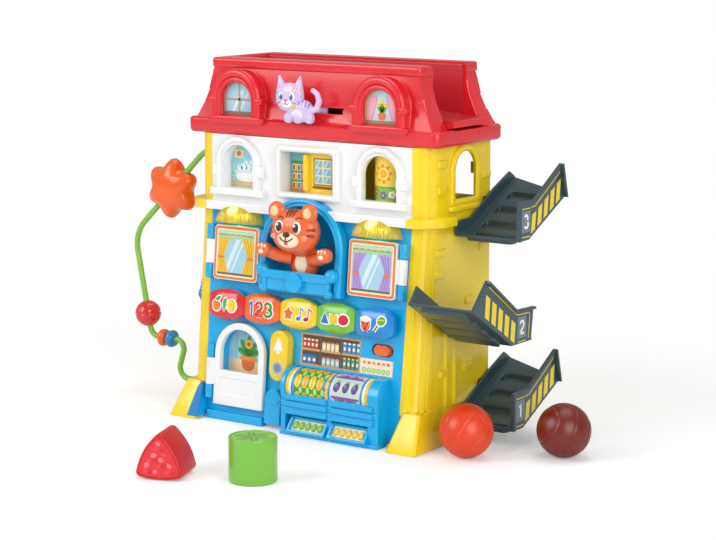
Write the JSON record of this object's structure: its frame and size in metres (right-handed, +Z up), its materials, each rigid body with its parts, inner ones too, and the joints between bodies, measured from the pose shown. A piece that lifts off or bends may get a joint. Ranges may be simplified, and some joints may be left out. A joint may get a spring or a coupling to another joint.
{
  "type": "activity house",
  "caption": "Toy town house with press keys, opening windows and door, sliding and turning pictures, ball channel and ramps, and a bead wire.",
  "frame": {"origin": "on the floor under the middle of the house", "axes": "+X to the right as seen from the front, +Y to the back, +Z up"},
  "size_m": [0.535, 0.3801, 0.3512],
  "materials": {
    "yellow_shell": "moulded, satin gloss",
    "blue_shell": "moulded, satin gloss",
    "white_shell": "moulded, satin gloss",
    "red_shell": "moulded, satin gloss",
    "slate_plastic": "moulded, satin",
    "red_plastic": "moulded, glossy",
    "orange_plastic": "moulded, glossy",
    "yellow_plastic": "moulded, glossy",
    "green_plastic": "moulded, glossy",
    "blue_plastic": "moulded, glossy",
    "cub_orange": "moulded and pad printed",
    "cat_lilac": "moulded and pad printed",
    "roller_print": "printed drum, glossy",
    "drum_print": "printed drum, glossy",
    "amber_dome": "translucent, glossy",
    "clear_lamp": "translucent",
    "printed_card": "printed label",
    "brown_plastic": "moulded, satin",
    "steel": "plated",
    "board_green": "solder mask",
    "pad_rubber": "matt",
    "speaker_black": "matt",
    "cell_wrap": "glossy sleeve"
  },
  "bodies": {
    "house": {"left_side": "yellow_shell", "right_side": "yellow_shell", "back_cover": "yellow_shell", "base_plate": "yellow_shell", "lower_front": "blue_shell", "upper_front": "white_shell", "niche": "blue_shell", "balcony": "blue_shell", "roof": "red_shell", "trough": "red_shell", "counter": "blue_shell", "sash_pins": "steel", "door_pin": "steel", "switch_body": "speaker_black", "light_domes": "amber_dome", "leds": "clear_lamp", "bath_card": "printed_card", "room_card": "printed_card", "door_card": "printed_card", "shelf_card": "printed_card", "bead_wire": "green_plastic", "dial_screw": "steel", "upper_ramp": "slate_plastic", "middle_ramp": "slate_plastic", "lower_ramp": "slate_plastic", "board": "board_green", "switch_pads": "pad_rubber", "board_screws": "steel", "speaker": "speaker_black", "battery_tray": "yellow_shell", "cells": "cell_wrap", "contacts": "steel", "battery_door": "yellow_shell", "battery_screw": "steel", "case_screws": "steel"},
    "left_sash": {"left_sash": "white_shell"},
    "right_sash": {"right_sash": "white_shell"},
    "front_door": {"front_door": "white_shell"},
    "red_key": {"red_key": "red_plastic"},
    "orange_key": {"orange_key": "orange_plastic"},
    "yellow_key": {"yellow_key": "yellow_plastic"},
    "green_key": {"green_key": "green_plastic"},
    "blue_key": {"blue_key": "blue_plastic"},
    "bell_button": {"bell_button": "yellow_plastic"},
    "cub": {"cub": "cub_orange"},
    "shutter": {"shutter": "yellow_plastic"},
    "drum": {"drum": "drum_print"},
    "roller": {"roller": "roller_print"},
    "switch_knob": {"switch_knob": "orange_plastic"},
    "cat": {"cat": "cat_lilac", "cat_clip": "cat_lilac"},
    "star_bead": {"star_bead": "orange_plastic"},
    "red_bead": {"red_bead": "red_plastic"},
    "orange_bead": {"orange_bead": "orange_plastic"},
    "blue_bead": {"blue_bead": "blue_plastic"},
    "side_dial": {"side_dial": "blue_plastic"},
    "red_ball": {"red_ball": "orange_plastic"},
    "brown_ball": {"brown_ball": "brown_plastic"},
    "triangle_block": {"triangle_block": "red_plastic"},
    "round_block": {"round_block": "green_plastic"}
  },
  "joints": [
    {"name": "left_sash_swing", "type": "hinge", "parent": "house", "child": "left_sash", "pos_m": [-0.1134, -0.06585, 0.16376], "axis": [0, -0.0924, -0.9957], "range_deg": [0, 110]},
    {"name": "right_sash_swing", "type": "hinge", "parent": "house", "child": "right_sash", "pos_m": [0.1134, -0.06585, 0.16376], "axis": [0, 0.0924, 0.9957], "range_deg": [0, 110]},
    {"name": "door_swing", "type": "hinge", "parent": "house", "child": "front_door", "pos_m": [-0.1064, -0.0767, 0.04676], "axis": [0, -0.0924, -0.9957], "range_deg": [0, 90]},
    {"name": "red_key_press", "type": "slide", "parent": "house", "child": "red_key", "axis": [0, 0.9957, -0.0924], "range_m": [0, 0.003], "stiffness_N_per_m": 300, "springref_m": -0.001},
    {"name": "orange_key_press", "type": "slide", "parent": "house", "child": "orange_key", "axis": [0, 0.9957, -0.0924], "range_m": [0, 0.003], "stiffness_N_per_m": 300, "springref_m": -0.001},
    {"name": "yellow_key_press", "type": "slide", "parent": "house", "child": "yellow_key", "axis": [0, 0.9957, -0.0924], "range_m": [0, 0.003], "stiffness_N_per_m": 300, "springref_m": -0.001},
    {"name": "green_key_press", "type": "slide", "parent": "house", "child": "green_key", "axis": [0, 0.9957, -0.0924], "range_m": [0, 0.003], "stiffness_N_per_m": 300, "springref_m": -0.001},
    {"name": "blue_key_press", "type": "slide", "parent": "house", "child": "blue_key", "axis": [0, 0.9957, -0.0924], "range_m": [0, 0.003], "stiffness_N_per_m": 300, "springref_m": -0.001},
    {"name": "bell_press", "type": "slide", "parent": "house", "child": "bell_button", "axis": [0, 0.9957, -0.0924], "range_m": [0, 0.003], "stiffness_N_per_m": 300, "springref_m": -0.001},
    {"name": "cub_press", "type": "slide", "parent": "house", "child": "cub", "axis": [0, 0.9957, -0.0924], "range_m": [0, 0.003], "stiffness_N_per_m": 500, "springref_m": -0.001},
    {"name": "shutter_slide", "type": "slide", "parent": "house", "child": "shutter", "axis": [-1, 0, 0], "range_m": [0, 0.0237]},
    {"name": "drum_spin", "type": "hinge", "parent": "house", "child": "drum", "pos_m": [0.083, -0.0361, 0.247], "axis": [0, 0, 1], "continuous": true},
    {"name": "roller_spin", "type": "hinge", "parent": "house", "child": "roller", "pos_m": [0.04275, -0.073, 0.045], "axis": [1, 0, 0], "continuous": true},
    {"name": "switch_slide", "type": "slide", "parent": "house", "child": "switch_knob", "axis": [1, 0, 0], "range_m": [-0.0031, 0.0031]},
    {"name": "cat_slide", "type": "slide", "parent": "house", "child": "cat", "axis": [1, 0, 0], "range_m": [0, 0.026]},
    {"name": "star_slide", "type": "slide", "parent": "house", "child": "star_bead", "axis": [-0.7193, 0, -0.6947], "range_m": [-0.02, 0.02]},
    {"name": "red_bead_slide", "type": "slide", "parent": "house", "child": "red_bead", "axis": [-0.1908, 0, 0.9816], "range_m": [0, 0.045]},
    {"name": "orange_bead_spin", "type": "hinge", "parent": "house", "child": "orange_bead", "pos_m": [-0.21786, -0.015, 0.05615], "axis": [1, 0, 0], "continuous": true},
    {"name": "blue_bead_spin", "type": "hinge", "parent": "house", "child": "blue_bead", "pos_m": [-0.20706, -0.015, 0.05615], "axis": [1, 0, 0], "continuous": true},
    {"name": "dial_spin", "type": "hinge", "parent": "house", "child": "side_dial", "pos_m": [-0.142, -0.024, 0.114], "axis": [1, 0, 0], "continuous": true},
    {"name": "red_ball_lift", "type": "slide", "parent": "house", "child": "red_ball", "axis": [0, 0, 1], "range_m": [0, 0.04]},
    {"name": "brown_ball_lift", "type": "slide", "parent": "house", "child": "brown_ball", "axis": [0, 0, 1], "range_m": [0, 0.06]},
    {"name": "triangle_block_lift", "type": "slide", "parent": "house", "child": "triangle_block", "axis": [0, 0, 1], "range_m": [0, 0.06]},
    {"name": "round_block_lift", "type": "slide", "parent": "house", "child": "round_block", "axis": [0, 0, 1], "range_m": [0, 0.06]}
  ]
}
